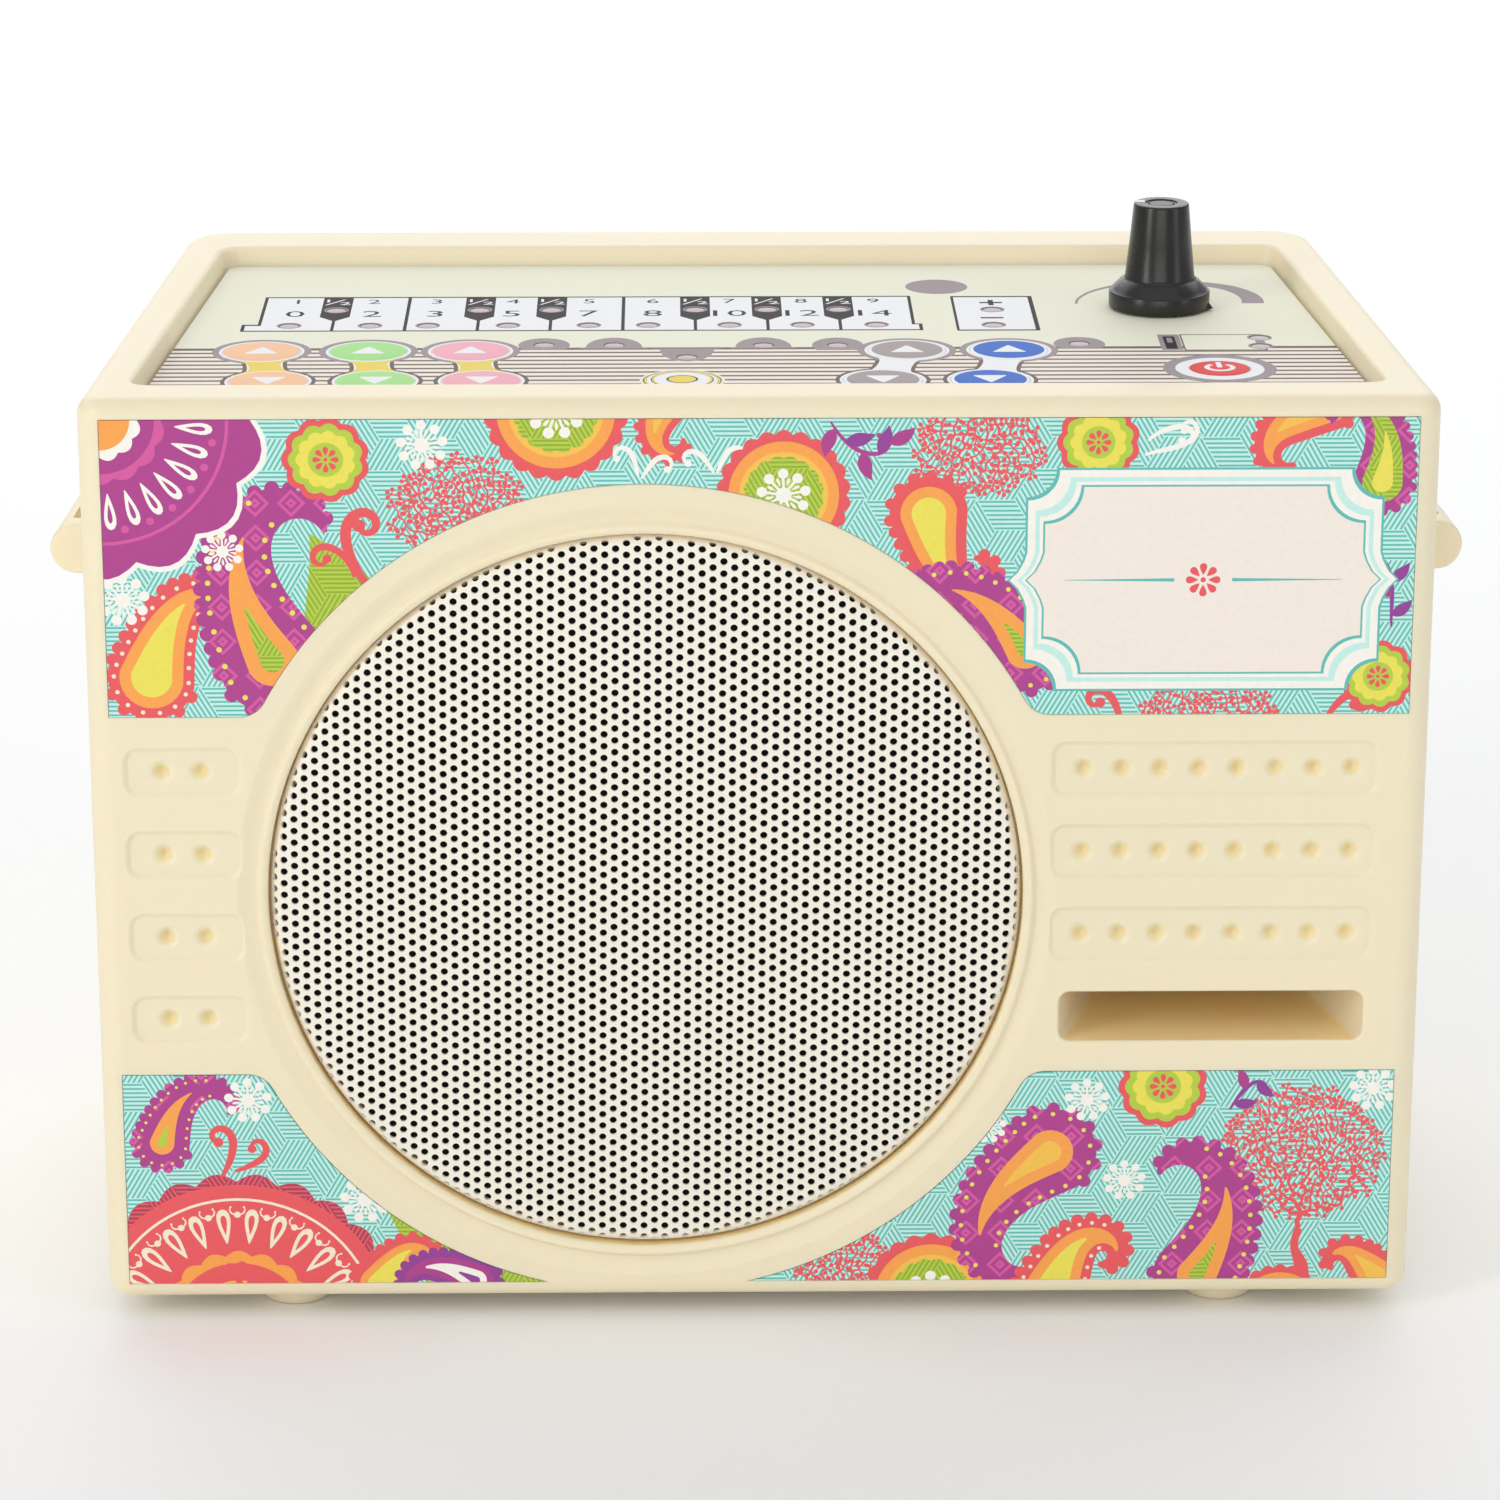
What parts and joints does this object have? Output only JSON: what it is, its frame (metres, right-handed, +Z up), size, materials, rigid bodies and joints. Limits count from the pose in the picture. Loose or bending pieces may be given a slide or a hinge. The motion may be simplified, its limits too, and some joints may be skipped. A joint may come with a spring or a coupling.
{
  "type": "electronic tanpura",
  "caption": "Table-top electronic tanpura: moulded case with a round perforated speaker grille, a sound port, a keypad panel on top with lamps and soft keys, a tone knob and strap lugs.",
  "frame": {"origin": "middle of the bounding box at the height of the surface that the four feet stand on", "axes": "+X to the right as the player sees it, +Y to the rear (the grille faces -Y), +Z up"},
  "size_m": [0.251, 0.132, 0.1873],
  "materials": {
    "cream_plastic": "satin, faintly textured",
    "panel_film": "satin printed film",
    "key_orange": "satin",
    "key_green": "satin",
    "key_pink": "satin",
    "key_yellow": "satin",
    "key_grey": "satin",
    "key_blue": "satin",
    "key_red": "satin",
    "lamp_lens": "polished, tinted",
    "green_board": "matt lacquer",
    "painted_steel": "satin paint",
    "black_cloth": "open weave",
    "speaker_frame": "satin paint",
    "paper_cone": "matt paper",
    "ferrite": "matt",
    "black_plastic": "satin",
    "knob_cap": "satin",
    "zinc_steel": "zinc plated",
    "pot_metal": "pressed",
    "aluminium": "extruded",
    "cell_wrap": "shrink wrap",
    "lead_cover": "soft insulation",
    "foot_rubber": "matt",
    "printed_label": "satin printed film"
  },
  "bodies": {
    "case": {"main_case": "cream_plastic", "back_cover": "cream_plastic", "back_cover_screw_1": "zinc_steel", "back_cover_screw_2": "zinc_steel", "back_cover_screw_3": "zinc_steel", "back_cover_screw_4": "zinc_steel", "back_cover_screw_5": "zinc_steel", "back_cover_screw_6": "zinc_steel", "control_panel": "panel_film", "lamp_guide": "lamp_lens", "keypad_board": "green_board", "tone_pot_body": "pot_metal", "tone_pot_nut": "zinc_steel", "speaker_grille": "painted_steel", "grille_cloth": "black_cloth", "speaker_basket": "speaker_frame", "speaker_cone": "paper_cone", "speaker_magnet": "ferrite", "speaker_screw_1": "zinc_steel", "speaker_screw_2": "zinc_steel", "speaker_screw_3": "zinc_steel", "speaker_screw_4": "zinc_steel", "main_board": "green_board", "main_board_screw_1": "zinc_steel", "main_board_screw_2": "zinc_steel", "heat_sink": "aluminium", "battery_pack": "cell_wrap", "dc_socket": "black_plastic", "line_out_socket": "black_plastic", "keypad_lead": "lead_cover", "speaker_lead": "lead_cover", "battery_lead": "lead_cover", "strap_lug_left": "cream_plastic", "strap_lug_right": "cream_plastic", "foot_front_left": "foot_rubber", "foot_front_right": "foot_rubber", "foot_rear_left": "foot_rubber", "foot_rear_right": "foot_rubber", "label_upper": "printed_label", "label_lower_left": "printed_label", "label_lower_right": "printed_label"},
    "knob": {"tone_knob": "black_plastic", "tone_knob_cap": "knob_cap", "tone_pot_shaft": "zinc_steel"},
    "orange_up": {"key_orange_up": "key_orange"},
    "orange_down": {"key_orange_down": "key_orange"},
    "green_up": {"key_green_up": "key_green"},
    "green_down": {"key_green_down": "key_green"},
    "pink_up": {"key_pink_up": "key_pink"},
    "pink_down": {"key_pink_down": "key_pink"},
    "yellow": {"key_yellow": "key_yellow"},
    "grey_up": {"key_grey_up": "key_grey"},
    "grey_down": {"key_grey_down": "key_grey"},
    "blue_up": {"key_blue_up": "key_blue"},
    "blue_down": {"key_blue_down": "key_blue"},
    "power": {"key_power": "key_red"}
  },
  "joints": [
    {"name": "tone_turn", "type": "hinge", "parent": "case", "child": "knob", "pos_m": [0.0752, 0.015, 0.1675], "axis": [0, 0, 1], "range_deg": [-150, 150]},
    {"name": "press_orange_up", "type": "slide", "parent": "case", "child": "orange_up", "axis": [0, 0, -1], "range_m": [0, 0.0004], "stiffness_N_per_m": 500},
    {"name": "press_orange_down", "type": "slide", "parent": "case", "child": "orange_down", "axis": [0, 0, -1], "range_m": [0, 0.0004], "stiffness_N_per_m": 500},
    {"name": "press_green_up", "type": "slide", "parent": "case", "child": "green_up", "axis": [0, 0, -1], "range_m": [0, 0.0004], "stiffness_N_per_m": 500},
    {"name": "press_green_down", "type": "slide", "parent": "case", "child": "green_down", "axis": [0, 0, -1], "range_m": [0, 0.0004], "stiffness_N_per_m": 500},
    {"name": "press_pink_up", "type": "slide", "parent": "case", "child": "pink_up", "axis": [0, 0, -1], "range_m": [0, 0.0004], "stiffness_N_per_m": 500},
    {"name": "press_pink_down", "type": "slide", "parent": "case", "child": "pink_down", "axis": [0, 0, -1], "range_m": [0, 0.0004], "stiffness_N_per_m": 500},
    {"name": "press_yellow", "type": "slide", "parent": "case", "child": "yellow", "axis": [0, 0, -1], "range_m": [0, 0.0004], "stiffness_N_per_m": 500},
    {"name": "press_grey_up", "type": "slide", "parent": "case", "child": "grey_up", "axis": [0, 0, -1], "range_m": [0, 0.0004], "stiffness_N_per_m": 500},
    {"name": "press_grey_down", "type": "slide", "parent": "case", "child": "grey_down", "axis": [0, 0, -1], "range_m": [0, 0.0004], "stiffness_N_per_m": 500},
    {"name": "press_blue_up", "type": "slide", "parent": "case", "child": "blue_up", "axis": [0, 0, -1], "range_m": [0, 0.0004], "stiffness_N_per_m": 500},
    {"name": "press_blue_down", "type": "slide", "parent": "case", "child": "blue_down", "axis": [0, 0, -1], "range_m": [0, 0.0004], "stiffness_N_per_m": 500},
    {"name": "press_power", "type": "slide", "parent": "case", "child": "power", "axis": [0, 0, -1], "range_m": [0, 0.0004], "stiffness_N_per_m": 500}
  ]
}
